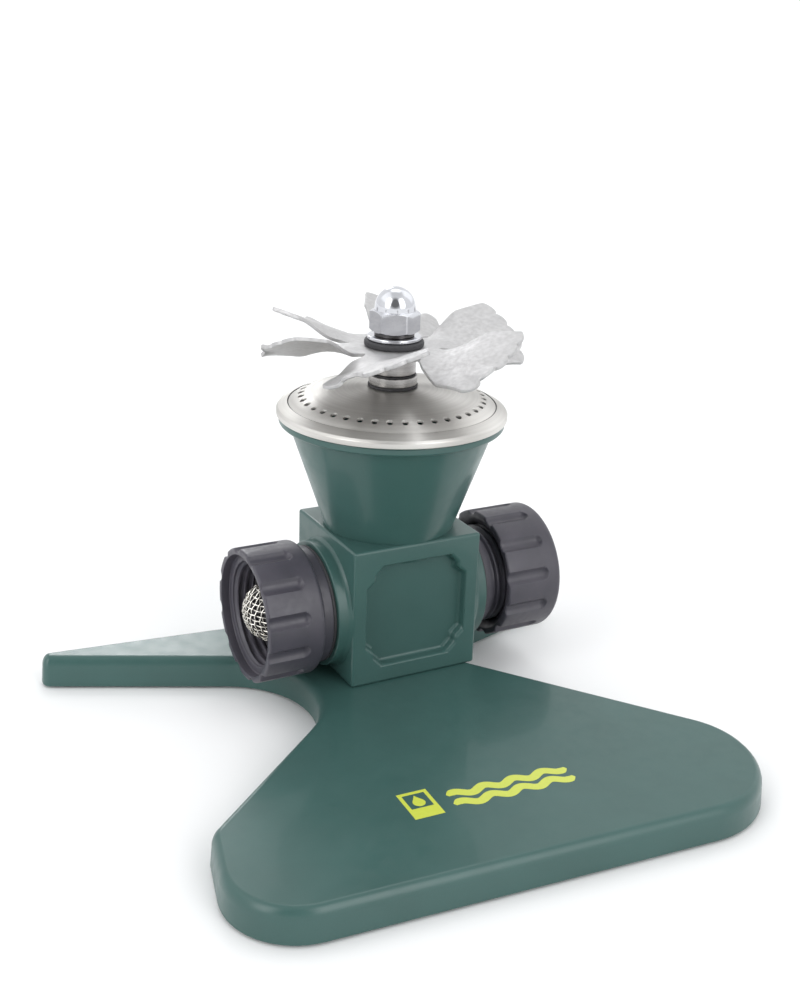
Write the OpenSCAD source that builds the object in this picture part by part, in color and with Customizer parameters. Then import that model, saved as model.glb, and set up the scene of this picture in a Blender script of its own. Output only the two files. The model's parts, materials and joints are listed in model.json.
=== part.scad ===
// Spinning-rotor lawn sprinkler on a low cast base.
// Millimetres, +Z up. The origin is on the ground at the middle of the outline.
// Water enters at the left swivel coupling, fills the cone, and leaves through a ring
// of small holes in the nozzle dish; the jets turn the six-bladed rotor above it.

/* [Base] */
// Width from the tip of the long rear arm to the opposite front lobe
base_w = 153.6; // [150:0.1:157]
// Depth from the front edge to the rear edge
base_d = 126.4; // [125.2:0.1:127.2]
// Distance from the head's axis back to the rear edge
rear_reach = 26.45; // [25.7:0.05:27.2]
// Reach of the right front lobe to the side, from the head's axis
lobe_reach = 65.9; // [65:0.1:67]
// Radius of the left front corner
corner_left_r = 16.5; // [12:0.5:18]
// Radius of the right front corner
corner_right_r = 23.5; // [18:0.5:23.5]
// Radius of the waist between the left lobe and the long arm
waist_r = 24; // [16:0.5:25]
// Height of the base's top face above the ground
base_h = 8.8; // [8.4:0.1:10]
// Wall thickness of the base's skirt
base_wall = 2.4; // [2:0.1:3]
// How far the four cast feet stand below the skirt
foot_h = 0.6; // [0.4:0.1:1]

/* [Head] */
// Reach of the short rear arm, from the head's axis to its tip
short_arm = 58; // [54:1:62]
// Angle by which the head stands turned on the base
head_turn = 6.5; // [0:0.1:12]
// Width of the square-cornered block, along the hose line
block_w = 36; // [35.5:0.5:38]
// Depth of the block, front to back
block_d = 34; // [34:0.5:37]
// Height of the block
block_h = 37; // [36:0.5:40]
// Height of the hose line above the block's underside
hose_up = 17.4; // [17.2:0.1:20]
// Radius of the cone at the block
cone_foot_r = 16.8; // [16:0.1:17]
// Radius of the cone under its lip
cone_top_r = 26.2; // [25:0.1:26.5]
// Height of the cone from the block's top to the lip
cone_h = 27; // [24:0.5:30]

/* [Nozzle dish] */
// Number of jet holes
jet_count = 40; // [24:4:40]
// Radius of the circle of jet holes
jet_circle_r = 23.0; // [22:0.1:23.5]
// Radius of one jet hole
jet_r = 0.75; // [0.5:0.05:0.9]

/* [Rotor] */
// Number of blades
blade_count = 6; // [6:1:6]
// Distance of a blade's tip from the axis
blade_tip = 30.5; // [28:0.5:32]
// Width of a blade at its tip
blade_tip_w = 26.3; // [22:0.1:27]
// Angle by which a blade is twisted about its own centre line
blade_pitch = 21.7; // [15:0.1:24]
// How far a blade's centre line rises from the hub to the tip
blade_rise = 1.9; // [0:0.1:3]
// Thickness of the rotor's sheet
sheet_t = 0.9; // [0.7:0.1:1]
// Angle of the first blade's centre line at rest
rotor_rest = -6; // [-30:1:30]

/* [Hose fittings] */
// Outer radius of the inlet coupling and of the outlet cap
grip_r = 17.3; // [17:0.1:18]
// Number of grip flutes around each of them
flute_count = 12; // [10:1:14]
// Length of the inlet coupling
coupling_l = 15.2; // [14.8:0.1:15.2]
// Length of the outlet cap
cap_l = 16.5; // [15:0.5:18]
// Radius of the female hose thread's wall
female_r = 13.6; // [13.5:0.05:13.7]
// Radius over the male hose thread
male_r = 13.2; // [13:0.1:13.2]

/* [Hidden] */

// Circles and arcs
$fn = 96;
arc_steps = 10;
hole_fn = 24;
// Small clearances
slip = 0.05;
gap = 0.1;
bite = 0.01;

// Base outline, as corners [x, y, radius] from the head's axis. The left arm is long, the right
// one short, and the front edge stands a little askew.
head_x = base_w / 2 - lobe_reach;
long_arm = base_w - lobe_reach;
front_y = rear_reach - base_d;
// The rotor reaches further back than the base, and the origin is half way to the front edge
rotor_back = 32.55;
head_y = (-front_y - rotor_back) / 2;
front_right = [lobe_reach + 0.3, front_y + 4.95, corner_right_r];
back_right = [lobe_reach - 0.1, front_right.y + 31, 20];
short_waist = [7.5, -0.7, 10];
short_arm_near = 21;
arm_near = 20.9;
arm_w = 5;
arm_r = 2.45;
rear = [0, rear_reach, 60];
long_waist = [-5.9, -5.5, waist_r];
back_left = [-65, front_y + 32.45, 6];
front_left = [-69.3, front_y - 0.85, corner_left_r];
edge_in = 2;
edge_drop = 3.2;
edge_steps = 5;
draft = 0.35;
base_top_t = 2.6;
boss_r = 11;
rib_t = 2.4;

// Heights
block_z = base_h;
hose_z = block_z + hose_up;
block_top = block_z + block_h;
lip_z = block_top + cone_h;
lip_h = 2.1;
lip_r = 28.6;
seat_z = lip_z + lip_h;
rim_r = 28.1;
rim_z = seat_z + 1.4;
gasket_t = 0.8;
dish_z = rim_z + gasket_t;
dish_t = 0.7;
flange_r = 27.9;
dish_top = dish_z + 5.2;
ring_r = 29.2;
ring_h = 3.6;
ring_in_r = 26.4;
cavity_foot_r = 13.2;
cavity_top_r = 23.2;
water_r = 8;
rise_r = 9;

// Stack on the spindle, from the dish upwards
stud_r = 3.175;
stud_bore = stud_r + slip;
seal_t = 0.8;
bush_z = dish_top + seal_t;
bush_h = 2.3;
bush_r = 6.1;
thrust_z = bush_z + bush_h;
thrust_t = 0.4;
hub_z = thrust_z + thrust_t + gap;
hub_h = 5.8;
hub_r = 5.7;
hub_neck_r = 4.9;
plate_z = hub_z + hub_h;
rubber_z = plate_z + sheet_t;
rubber_t = 1.65;
rubber_r = 7.5;
washer_z = rubber_z + rubber_t + gap;
washer_t = 0.95;
washer_r = 6.8;
lock_z = washer_z + washer_t;
lock_t = 0.85;
nut_z = lock_z + lock_t;
nut_af = 11.1;
nut_hex_h = 5.5;
dome_r = 5.1;
dome_up = 0.6;
sleeve_r = 4.1;
hub_bore = sleeve_r + slip;
head_h = 4;
inner_washer_t = 1.1;

// Rotor sheet
hub_disc_r = 12;
blade_root = 9;
slit_half = 0.35;
sector_end = 21.3;
blade_rows = 14;
blade_cols = 6;

// Base fastening
bolt_r = 3;
bolt_head_h = 4;
bolt_head_af = 10;
base_washer_t = 1.1;
bolt_reach = 9.5;

// Hose fittings, distances from the head's axis along the hose line
neck_out = block_w / 2 + 3.5;
neck_r = 16.3;
neck_root_r = 16.9;
port_r = 9.6;
port_depth = 9;
fitting_seal_t = 0.8;
collar_out = neck_out + 3.5;
collar_r = 15.2;
coupling_in = collar_out + 0.3;
coupling_out = coupling_in + coupling_l;
back_wall = 2.8;
lead_r = 15.6;
lead_d = 2.3;
tail_r = 10.5;
tail_flange_r = 12.7;
tail_flange_t = 1.4;
tail_bore = 6.5;
washer_in = coupling_in + back_wall + gap + tail_flange_t;
hose_washer_t = 2.6;
hose_washer_r = 13.3;
screen_r = 8;
screen_t = 0.4;
nipple_flange_r = 16.2;
cap_in = collar_out + 3;
cap_end_t = 2.8;
cap_washer_t = 2.2;
nipple_out = cap_in + cap_l - cap_end_t - cap_washer_t - slip - gap;
flute_r = 2;
flute_up = 1;
flute_stop = 3.8;

// A unit vector along v
function unit(v) = v / norm(v);

// Points of an arc of radius r that rounds the corner at b, between a and c
function corner_arc(a, b, c, r) =
    let (u = unit(a - b), v = unit(c - b), half = acos(u * v) / 2,
         centre = b + unit(u + v) * r / sin(half),
         from = b + u * r / tan(half) - centre,
         to = b + v * r / tan(half) - centre,
         start = atan2(from.y, from.x),
         turn = (atan2(to.y, to.x) - start + 540) % 360 - 180)
    [for (i = [0 : arc_steps]) centre + r * [cos(start + turn * i / arc_steps),
                                            sin(start + turn * i / arc_steps)]];

// All corners of the base, counter-clockwise from the front right
function base_corners() = [
    front_right, back_right, short_waist,
    [short_arm, short_arm_near, arm_r], [short_arm, short_arm_near + arm_w, arm_r],
    rear,
    [-long_arm, arm_near + arm_w, arm_r], [-long_arm, arm_near, arm_r],
    long_waist, back_left, front_left];

// Corner i moved inwards by d along both of its edges
function inset_corner(cs, i, d) =
    let (n = len(cs), b = [cs[i].x, cs[i].y],
         u = unit(b - [cs[(i + n - 1) % n].x, cs[(i + n - 1) % n].y]),
         v = unit([cs[(i + 1) % n].x, cs[(i + 1) % n].y] - b),
         cross_uv = u.x * v.y - u.y * v.x,
         left_u = [-u.y, u.x], left_v = [-v.y, v.x])
    [b + (left_u + left_v) * d / (1 + left_u * left_v), cs[i][2] - d * sign(cross_uv)];

// The rounded outline of the base, moved inwards by d
function base_outline(d) =
    let (cs = base_corners(), n = len(cs), ins = [for (i = [0 : n - 1]) inset_corner(cs, i, d)])
    [for (i = [0 : n - 1])
        each corner_arc(ins[(i + n - 1) % n][0], ins[i][0], ins[(i + 1) % n][0], ins[i][1])];

// Triangles that close a ring of n points, from index first on. Points i and n - 1 - i face
// each other across the ring, so the cap is a ladder of rungs between them.
function ladder(n, first) = [for (i = [0 : floor(n / 2) - 1])
    each concat([[first + i, first + i + 1, first + n - 1 - i]],
        i + 1 < n - 2 - i ? [[first + i + 1, first + n - 2 - i, first + n - 1 - i]] : [])];

// A closed skin through equal rings of points, bottom ring first
module skin(rings) {
    n = len(rings[0]);
    m = len(rings);
    sides = [for (k = [0 : m - 2], i = [0 : n - 1])
        each let (a = k * n + i, b = k * n + (i + 1) % n) [[a, a + n, b], [b, a + n, b + n]]];
    top = [for (t = ladder(n, (m - 1) * n)) [t[2], t[1], t[0]]];
    polyhedron([for (r = rings) each r], concat(ladder(n, 0), sides, top), convexity = 6);
}

// Puts a part of the head where the head stands on the base
module on_head() {
    translate([head_x, head_y, 0]) rotate([0, 0, head_turn]) children();
}

// Points +Z of its children outwards along the hose line, side -1 at the inlet, 1 at the outlet
module on_hose_line(side) {
    on_head() translate([0, 0, hose_z]) rotate([0, side * 90, 0]) children();
}

// A plain ring
module ring(outer, inner, height) {
    difference() {
        cylinder(r = outer, h = height);
        translate([0, 0, -1]) cylinder(r = inner, h = height + 2);
    }
}

// A hexagon by its width across the flats
module hexagon(af, height) {
    rotate([0, 0, 30]) cylinder(r = af / 2 / cos(30), h = height, $fn = 6);
}

// The outside of a fluted grip; the flutes run out through its far face
module fluted_grip(length) {
    chamfer = 0.8;
    difference() {
        rotate_extrude() polygon([[0, 0], [grip_r - chamfer, 0], [grip_r, chamfer],
            [grip_r, length - chamfer], [grip_r - chamfer, length], [0, length]]);
        for (i = [0 : flute_count - 1]) {
            rotate([0, 0, (i + 0.5) * 360 / flute_count])
                translate([grip_r + flute_up, 0, flute_stop + flute_r]) {
                    cylinder(r = flute_r, h = length, $fn = hole_fn);
                    sphere(r = flute_r, $fn = hole_fn);
                }
        }
    }
}

// Cast base: a low shell with rounded upper edges, ribs, a boss and four feet
module base() {
    rings = concat(
        [[for (p = base_outline(0)) [p.x, p.y, foot_h]]],
        [for (k = [0 : edge_steps])
            let (a = 90 * k / edge_steps,
                 inset = draft + edge_in * (1 - cos(a)),
                 z = base_h - edge_drop * (1 - sin(a)))
            [for (p = base_outline(inset)) [p.x, p.y, z]]]);
    color("darkgreen") translate([head_x, head_y, 0]) difference() {
        union() {
            difference() {
                skin(rings);
                base_hollow();
            }
            base_ribs();
            base_feet();
        }
        translate([0, 0, -1]) cylinder(r = bolt_r + 0.3, h = base_h + 2);
    }
}

// The space under the base's top plate
module base_hollow() {
    translate([0, 0, -1]) linear_extrude(base_h - base_top_t + 1)
        offset(delta = -base_wall) polygon(base_outline(draft));
}

// Stiffening ribs and the bolt boss under the top plate
module base_ribs() {
    rib_z = foot_h + 1.4;
    intersection() {
        translate([0, 0, rib_z]) linear_extrude(base_h - base_top_t - rib_z + bite) {
            for (side = [-1, 1]) {
                translate([side * 26 - rib_t / 2, front_y + 1]) square([rib_t, 44]);
            }
            translate([-long_arm, front_y + 32]) square([base_w, rib_t]);
            translate([-long_arm, arm_near + 2]) square([long_arm + short_arm, rib_t]);
        }
        translate([0, 0, -1]) linear_extrude(base_h) offset(delta = -bite) polygon(base_outline(draft));
    }
    translate([0, 0, base_h - base_top_t - 0.2]) cylinder(r = boss_r, h = 0.4);
}

// One foot under each lobe and each arm tip
module base_feet() {
    for (side = [-1, 1]) {
        translate([side > 0 ? 44 : -51, front_y + (side > 0 ? 28 : 17), 0])
            cylinder(r = 7, h = base_h - base_top_t + bite);
        linear_extrude(foot_h + 1.5) intersection() {
            polygon(base_outline(0.3));
            translate([side > 0 ? short_arm - 5 : 5 - long_arm, arm_near + 3.2])
                square([10.6, 14], center = true);
        }
    }
}

// Hex bolt that holds the head down, put in from under the base
module base_bolt() {
    seat = base_h - base_top_t - 0.2 - base_washer_t;
    color("silver") translate([head_x, head_y, 0]) {
        translate([0, 0, seat - bolt_head_h]) hexagon(bolt_head_af, bolt_head_h);
        translate([0, 0, seat - bite]) cylinder(r = bolt_r, h = block_z + bolt_reach - 1 - seat);
    }
}

// Washer under the head of the base bolt
module base_washer() {
    color("silver") translate([head_x, head_y, base_h - base_top_t - 0.2 - base_washer_t])
        ring(6, bolt_r + 0.2, base_washer_t);
}

// Recessed panel with notched corners, on the front and the back of the block
module block_panel() {
    margin_x = 3.8;
    margin_z = 4.7;
    notch = 4.6;
    depth = 2.6;
    w = block_w / 2 - margin_x;
    h = block_h / 2 - margin_z;
    translate([0, depth - block_d / 2, block_z + block_h / 2]) rotate([90, 0, 0])
        linear_extrude(depth + 1) polygon([
            [-w, -h + notch], [-w + notch, -h], [w - notch, -h], [w, -h + notch],
            [w, h - notch], [w - notch, h], [-w + notch, h], [-w, h - notch]]);
}

// Main casting: block, hose necks, cone and lip in one piece, hollow for the water
module body_casting() {
    color("darkgreen") on_head() difference() {
        union() {
            translate([-block_w / 2, -block_d / 2, block_z]) cube([block_w, block_d, block_h]);
            translate([0, 0, block_top - bite])
                cylinder(r1 = cone_foot_r, r2 = cone_top_r, h = cone_h + 2 * bite);
            translate([0, 0, lip_z]) cylinder(r = lip_r, h = lip_h);
            translate([0, 0, seat_z - bite]) cylinder(r = rim_r, h = rim_z - seat_z + bite);
            for (side = [-1, 1]) translate([0, 0, hose_z]) rotate([0, side * 90, 0]) hose_neck();
        }
        for (turn = [0, 180]) rotate([0, 0, turn]) block_panel();
        water_ways();
        translate([0, 0, block_z - 1]) cylinder(r = bolt_r + slip, h = bolt_reach + 1);
    }
}

// Round neck on the side of the block, with a fillet at its root
module hose_neck() {
    fillet = neck_root_r - neck_r;
    root = block_w / 2;
    rotate_extrude() polygon(concat([[0, root - 1], [neck_root_r, root - 1]],
        [for (i = [0 : 4]) [neck_root_r - fillet * sin(22.5 * i), root + fillet * (1 - cos(22.5 * i))]],
        [[neck_r, neck_out - 0.4], [neck_r - 0.4, neck_out], [0, neck_out]]));
}

// The hollow inside the casting
module water_ways() {
    translate([0, 0, hose_z]) rotate([0, 90, 0])
        cylinder(r = water_r, h = 2 * neck_out - 2, center = true);
    for (side = [-1, 1]) {
        translate([0, 0, hose_z]) rotate([0, side * 90, 0])
            translate([0, 0, neck_out - port_depth]) cylinder(r = port_r, h = port_depth + 1);
    }
    translate([0, 0, hose_z]) cylinder(r = rise_r, h = block_top - hose_z);
    translate([0, 0, block_top - 2]) cylinder(r1 = cavity_foot_r, r2 = cavity_top_r, h = cone_h + 2);
    translate([0, 0, lip_z - bite]) cylinder(r = cavity_top_r, h = rim_z - lip_z + 1);
}

// Rubber ring between the casting's rim and the dish
module cap_gasket() {
    color("black") on_head() translate([0, 0, rim_z]) ring(flange_r, 24.2, gasket_t);
}

// Upper face of the dish, from its flange to the flat around the spindle
function dish_profile() = [
    [flange_r, dish_t], [26, dish_t + 0.1], [25.6, 1.15], [25, 1.6], [24, 2.15],
    [23, 2.6], [21.5, 3.1], [19.5, 3.6], [17, 4.05], [14, 4.45], [10.5, 4.85], [7, 5.2]];

// Pressed steel dish with the ring of jet holes
module nozzle_dish() {
    top = dish_profile();
    under = [for (i = [len(top) - 1 : -1 : 0]) [top[i].x - (i == 0 ? 0 : 0.15), top[i].y - dish_t]];
    jet_lean = 24;
    color("silver") on_head() translate([0, 0, dish_z]) difference() {
        rotate_extrude() polygon(concat(top, [[stud_bore, 5.2], [stud_bore, 5.2 - dish_t]], under));
        for (i = [0 : jet_count - 1]) {
            rotate([0, 0, (i + 0.78) * 360 / jet_count]) translate([jet_circle_r, 0, 2.6])
                rotate([0, jet_lean, 0]) translate([0, 0, -3]) cylinder(r = jet_r, h = 6, $fn = hole_fn);
        }
    }
}

// Bright ring that is rolled over the dish and holds it on the casting
module clamp_ring() {
    bend = 2.4;
    wall = 0.7;
    bend_z = ring_h - bend;
    outside = [for (i = [0 : 6]) [ring_r - bend + bend * cos(15 * i), bend_z + bend * sin(15 * i)]];
    color("silver") on_head() translate([0, 0, seat_z]) rotate_extrude()
        polygon(concat([[ring_r - wall, 0.05], [ring_r - 0.2, 0.05], [ring_r, 0.3]], outside,
            [[ring_in_r, ring_h - 0.1], [ring_in_r, dish_z + dish_t + slip - seat_z + 0.1],
             [flange_r + 0.1, dish_z + dish_t + slip - seat_z], [ring_r - wall, bend_z]]));
}

// Hex bolt whose shank is the rotor's spindle; its head is inside the cone
module spindle_bolt() {
    seat = dish_top - dish_t - inner_washer_t;
    color("silver") on_head() {
        translate([0, 0, seat - head_h]) hexagon(nut_af, head_h);
        translate([0, 0, seat - bite]) cylinder(r = stud_r, h = nut_z + 7.5 - seat);
    }
}

// Rubber washer that seals the spindle bolt inside the dish
module spindle_inner_washer() {
    color("black") on_head() translate([0, 0, dish_top - dish_t - inner_washer_t])
        ring(6.6, stud_bore, inner_washer_t);
}

// Rubber washer between the dish and the lower bush
module spindle_seal() {
    color("black") on_head() translate([0, 0, dish_top]) ring(bush_r + 0.2, stud_bore, seal_t);
}

// Fixed steel bush that carries the rotor's weight
module lower_bush() {
    color("silver") on_head() translate([0, 0, bush_z]) ring(bush_r, stud_bore, bush_h);
}

// Thin nylon washer the rotor hub turns on
module thrust_washer() {
    color("dimgray") on_head() translate([0, 0, thrust_z]) ring(hub_r, stud_bore, thrust_t);
}

// Fixed bearing sleeve inside the rotor hub, clamped by the acorn nut
module bearing_sleeve() {
    z = thrust_z + thrust_t;
    color("tan") on_head() translate([0, 0, z]) ring(sleeve_r, stud_bore, washer_z - z);
}

// Turned steel hub of the rotor; its neck goes through the sheet
module rotor_hub() {
    color("silver") on_head() translate([0, 0, hub_z]) difference() {
        union() {
            cylinder(r = hub_r, h = hub_h);
            cylinder(r = hub_neck_r, h = hub_h + sheet_t);
        }
        translate([0, 0, -1]) cylinder(r = hub_bore, h = hub_h + sheet_t + 2);
    }
}

// Smooth change from 0 to 1 as t goes from 0 to 1
function ease(t) = let (c = min(1, max(0, t))) c * c * (3 - 2 * c);

// Half the width of a blade at the distance u from the axis
function blade_half(u) = u < sector_end ? u * tan(30) - slit_half
    : let (w = sector_end * tan(30) - slit_half)
      w + (blade_tip_w / 2 - w) * (u - sector_end) / (blade_tip - sector_end);

// How far the round tip of a blade stands out at v across it, at the part t of its length
function blade_bulge(t, v) =
    pow(t, 4) * (sqrt(pow(blade_tip, 2) + pow(blade_tip_w / 2, 2) - v * v) - blade_tip);

// A point of the blade's sheet at u along and v across the blade
function blade_point(u, v, lift) =
    let (twist = blade_pitch * ease((u - blade_root) / (sector_end - blade_root)),
         rise = blade_rise * ease((u - hub_disc_r) / (blade_tip - hub_disc_r)))
    [u, v * cos(twist), rise + v * sin(twist) + lift];

// One twisted blade as a closed skin of cross sections
module blade() {
    half_t = sheet_t / 2 - bite;
    rows = [for (i = [0 : blade_rows])
        let (t = i / blade_rows, u = blade_root + (blade_tip - blade_root) * t,
             vs = [for (j = [0 : blade_cols]) blade_half(u) * (2 * j / blade_cols - 1)])
        concat([for (j = [0 : blade_cols]) blade_point(u + blade_bulge(t, vs[j]), vs[j], -half_t)],
               [for (j = [blade_cols : -1 : 0]) blade_point(u + blade_bulge(t, vs[j]), vs[j], half_t)])];
    skin(rows);
}

// Stamped sheet rotor with six twisted blades
module rotor() {
    color("gainsboro") on_head() rotate([0, 0, rotor_rest]) translate([0, 0, plate_z]) difference() {
        union() {
            cylinder(r = hub_disc_r, h = sheet_t);
            for (i = [0 : blade_count - 1]) {
                rotate([0, 0, i * 360 / blade_count]) translate([0, 0, sheet_t / 2]) blade();
            }
        }
        translate([0, 0, -3]) cylinder(r = hub_neck_r, h = 8);
    }
}

// Rubber washer on top of the rotor sheet
module rotor_rubber_washer() {
    color("black") on_head() translate([0, 0, rubber_z]) ring(rubber_r, hub_bore + slip, rubber_t);
}

// Plain steel washer over the rubber washer
module steel_washer() {
    color("silver") on_head() translate([0, 0, washer_z]) ring(washer_r, stud_bore, washer_t);
}

// Split spring washer under the acorn nut
module lock_washer() {
    color("dimgray") on_head() translate([0, 0, lock_z]) difference() {
        ring(5, stud_bore, lock_t);
        rotate([20, 0, 40]) translate([0, -0.4, -2]) cube([8, 0.8, 6]);
    }
}

// Domed cap nut
module acorn_nut() {
    color("silver") on_head() translate([0, 0, nut_z]) difference() {
        union() {
            intersection() {
                hexagon(nut_af, nut_hex_h);
                union() {
                    cylinder(r1 = nut_af / 2, r2 = nut_af / 2 + 0.9, h = 0.5);
                    translate([0, 0, 0.5 - bite]) cylinder(r = nut_af / 2 + 0.9, h = nut_hex_h - 1.1);
                    translate([0, 0, nut_hex_h - 0.6 - 2 * bite])
                        cylinder(r1 = nut_af / 2 + 0.9, r2 = nut_af / 2 - 0.2, h = 0.6 + 2 * bite);
                }
            }
            translate([0, 0, nut_hex_h - bite]) cylinder(r = dome_r, h = dome_up + 2 * bite);
            translate([0, 0, nut_hex_h + dome_up]) intersection() {
                sphere(r = dome_r);
                cylinder(r = dome_r + 1, h = dome_r + 1);
            }
        }
        translate([0, 0, -1]) cylinder(r = stud_bore, h = 9);
    }
}

// Rubber seal between the casting's neck and the inlet collar
module inlet_seal() {
    color("black") on_hose_line(-1) translate([0, 0, neck_out]) ring(collar_r, tail_r + slip, fitting_seal_t);
}

// Plastic spacer collar behind the swivel coupling
module inlet_collar() {
    z = neck_out + fitting_seal_t;
    color("dimgray") on_hose_line(-1) translate([0, 0, z]) ring(collar_r, tail_r + slip, collar_out - z);
}

// Flanged tube that screws into the casting and holds the swivel coupling
module inlet_tailpiece() {
    flange_z = coupling_in + back_wall + gap;
    color("dimgray") on_hose_line(-1) difference() {
        union() {
            translate([0, 0, neck_out - port_depth + 0.5])
                cylinder(r = port_r - slip, h = port_depth - 0.5 + bite);
            translate([0, 0, neck_out]) cylinder(r = tail_r, h = flange_z - neck_out + bite);
            translate([0, 0, flange_z]) cylinder(r = tail_flange_r, h = tail_flange_t);
        }
        translate([0, 0, neck_out - port_depth - 1]) cylinder(r = tail_bore, h = 60);
    }
}

// Swivel coupling with a female hose thread
module inlet_coupling() {
    tail_hole = tail_r + 0.1;
    color("dimgray") on_hose_line(-1) translate([0, 0, coupling_in]) difference() {
        fluted_grip(coupling_l);
        translate([0, 0, -1]) cylinder(r = tail_hole, h = back_wall + 2);
        translate([0, 0, back_wall]) cylinder(r = female_r, h = coupling_l);
        translate([0, 0, coupling_l - lead_d]) cylinder(r = lead_r, h = lead_d + 1);
    }
}

// Rubber hose washer against the flange of the tailpiece
module hose_washer() {
    color("black") on_hose_line(-1) translate([0, 0, washer_in + slip])
        ring(hose_washer_r, tail_bore + 1, hose_washer_t);
}

// Pressed rim that holds the screen on the hose washer
module filter_rim() {
    z = washer_in + slip + hose_washer_t;
    color("silver") on_hose_line(-1) translate([0, 0, z]) ring(screen_r + 1.6, screen_r, 0.6);
}

// Domed wire screen, bulging towards the hose
module filter_screen() {
    z = washer_in + slip + hose_washer_t;
    color("lightgray") on_hose_line(-1) translate([0, 0, z]) difference() {
        intersection() {
            sphere(r = screen_r - slip, $fn = 64);
            cylinder(r = screen_r + 1, h = screen_r + 1);
        }
        sphere(r = screen_r - slip - screen_t, $fn = 64);
    }
}

// Rubber seal between the casting's neck and the outlet nipple
module outlet_seal() {
    color("black") on_hose_line(1) translate([0, 0, neck_out]) ring(collar_r, port_r, fitting_seal_t);
}

// Flanged nipple with a male hose thread
module outlet_nipple() {
    flange_z = neck_out + fitting_seal_t;
    color("dimgray") on_hose_line(1) difference() {
        union() {
            translate([0, 0, neck_out - port_depth + 0.5])
                cylinder(r = port_r - slip, h = flange_z - neck_out + port_depth);
            translate([0, 0, flange_z]) cylinder(r = nipple_flange_r, h = collar_out - flange_z);
            translate([0, 0, collar_out - bite]) cylinder(r = male_r, h = nipple_out - collar_out);
        }
        translate([0, 0, neck_out - port_depth - 1]) cylinder(r = tail_bore, h = 60);
    }
}

// Screw cap that closes the outlet
module outlet_cap() {
    chamfer = 1;
    color("dimgray") on_hose_line(1) translate([0, 0, cap_in + cap_l]) rotate([180, 0, 0]) difference() {
        intersection() {
            fluted_grip(cap_l);
            cylinder(r1 = grip_r - chamfer, r2 = grip_r + cap_l - chamfer, h = cap_l);
        }
        translate([0, 0, cap_end_t]) cylinder(r = female_r, h = cap_l);
        translate([0, 0, cap_l - 1.2]) cylinder(r1 = female_r, r2 = lead_r, h = 1.2 + bite);
    }
}

// Rubber washer inside the outlet cap
module outlet_cap_washer() {
    z = cap_in + cap_l - cap_end_t - cap_washer_t - slip;
    color("black") on_hose_line(1) translate([0, 0, z]) cylinder(r = hose_washer_r, h = cap_washer_t);
}

base();
base_bolt();
base_washer();
body_casting();
cap_gasket();
nozzle_dish();
clamp_ring();
spindle_bolt();
spindle_inner_washer();
spindle_seal();
lower_bush();
thrust_washer();
bearing_sleeve();
rotor_hub();
rotor();
rotor_rubber_washer();
steel_washer();
lock_washer();
acorn_nut();
inlet_seal();
inlet_collar();
inlet_tailpiece();
inlet_coupling();
hose_washer();
filter_rim();
filter_screen();
outlet_seal();
outlet_nipple();
outlet_cap();
outlet_cap_washer();
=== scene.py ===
import json
import math

import bmesh
import bpy
from mathutils import Matrix, Vector


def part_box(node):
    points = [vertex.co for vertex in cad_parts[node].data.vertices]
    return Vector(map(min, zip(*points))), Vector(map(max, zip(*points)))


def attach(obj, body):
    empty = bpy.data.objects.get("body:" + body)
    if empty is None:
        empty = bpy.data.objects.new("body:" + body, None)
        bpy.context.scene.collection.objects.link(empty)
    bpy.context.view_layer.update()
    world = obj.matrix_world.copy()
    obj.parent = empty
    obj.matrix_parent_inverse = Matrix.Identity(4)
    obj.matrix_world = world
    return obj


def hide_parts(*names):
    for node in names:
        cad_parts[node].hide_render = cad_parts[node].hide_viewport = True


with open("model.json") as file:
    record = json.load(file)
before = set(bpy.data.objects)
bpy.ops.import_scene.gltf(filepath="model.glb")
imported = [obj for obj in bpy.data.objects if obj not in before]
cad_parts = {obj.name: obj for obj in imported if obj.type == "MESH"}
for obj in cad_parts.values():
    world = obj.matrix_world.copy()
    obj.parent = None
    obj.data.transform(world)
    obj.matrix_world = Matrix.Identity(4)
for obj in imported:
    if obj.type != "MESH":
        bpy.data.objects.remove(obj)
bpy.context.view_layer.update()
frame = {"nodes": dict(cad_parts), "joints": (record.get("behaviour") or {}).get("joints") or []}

# Places. Every piece is built in millimetres in a local frame: ROW is the row frame, HEAD has its Z on
# the rotor's axis, and hose_line(side) has its Z outwards along the hose line.
MM = 0.001
joints = {joint["name"]: joint for joint in frame["joints"]}
hose_axis = Vector(joints["cap_unscrew"]["axis"])
hose_z = joints["cap_unscrew"]["pos_m"][2]
head_place = Vector(joints["rotor_spin"]["pos_m"])
head_turn = math.atan2(hose_axis.y, hose_axis.x)
ROW = Matrix.Identity(4)
HEAD = Matrix.Translation((head_place.x, head_place.y, 0)) @ Matrix.Rotation(head_turn, 4, "Z")
ROUND = 192


def hose_line(side):
    """The frame of the inlet (side -1) or of the outlet (side 1)."""
    return HEAD @ Matrix.Translation((0, 0, hose_z)) @ Matrix.Rotation(side * math.pi / 2, 4, "Y")


INLET = hose_line(-1)
OUTLET = hose_line(1)


def extent(node, place=HEAD):
    """Lowest and highest Z, then least and greatest radius, of a CAD node in a local frame."""
    to_local = place.inverted()
    points = [to_local @ v.co / MM for v in frame["nodes"][node].data.vertices]
    radii = [math.hypot(p.x, p.y) for p in points]
    heights = [p.z for p in points]
    return min(heights), max(heights), min(radii), max(radii)


# ---------------------------------------------------------------- shapes


def ease(t):
    """Smooth change from 0 to 1 as t goes from 0 to 1."""
    t = min(1.0, max(0.0, t))
    return t * t * (3 - 2 * t)


def mix(a, b, t):
    return a + (b - a) * t


def soft_min(a, b, k):
    """The lesser of two values, with the change between them rounded over k."""
    h = min(1.0, max(0.0, 0.5 + 0.5 * (b - a) / k))
    return b + (a - b) * h - k * h * (1 - h)


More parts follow.
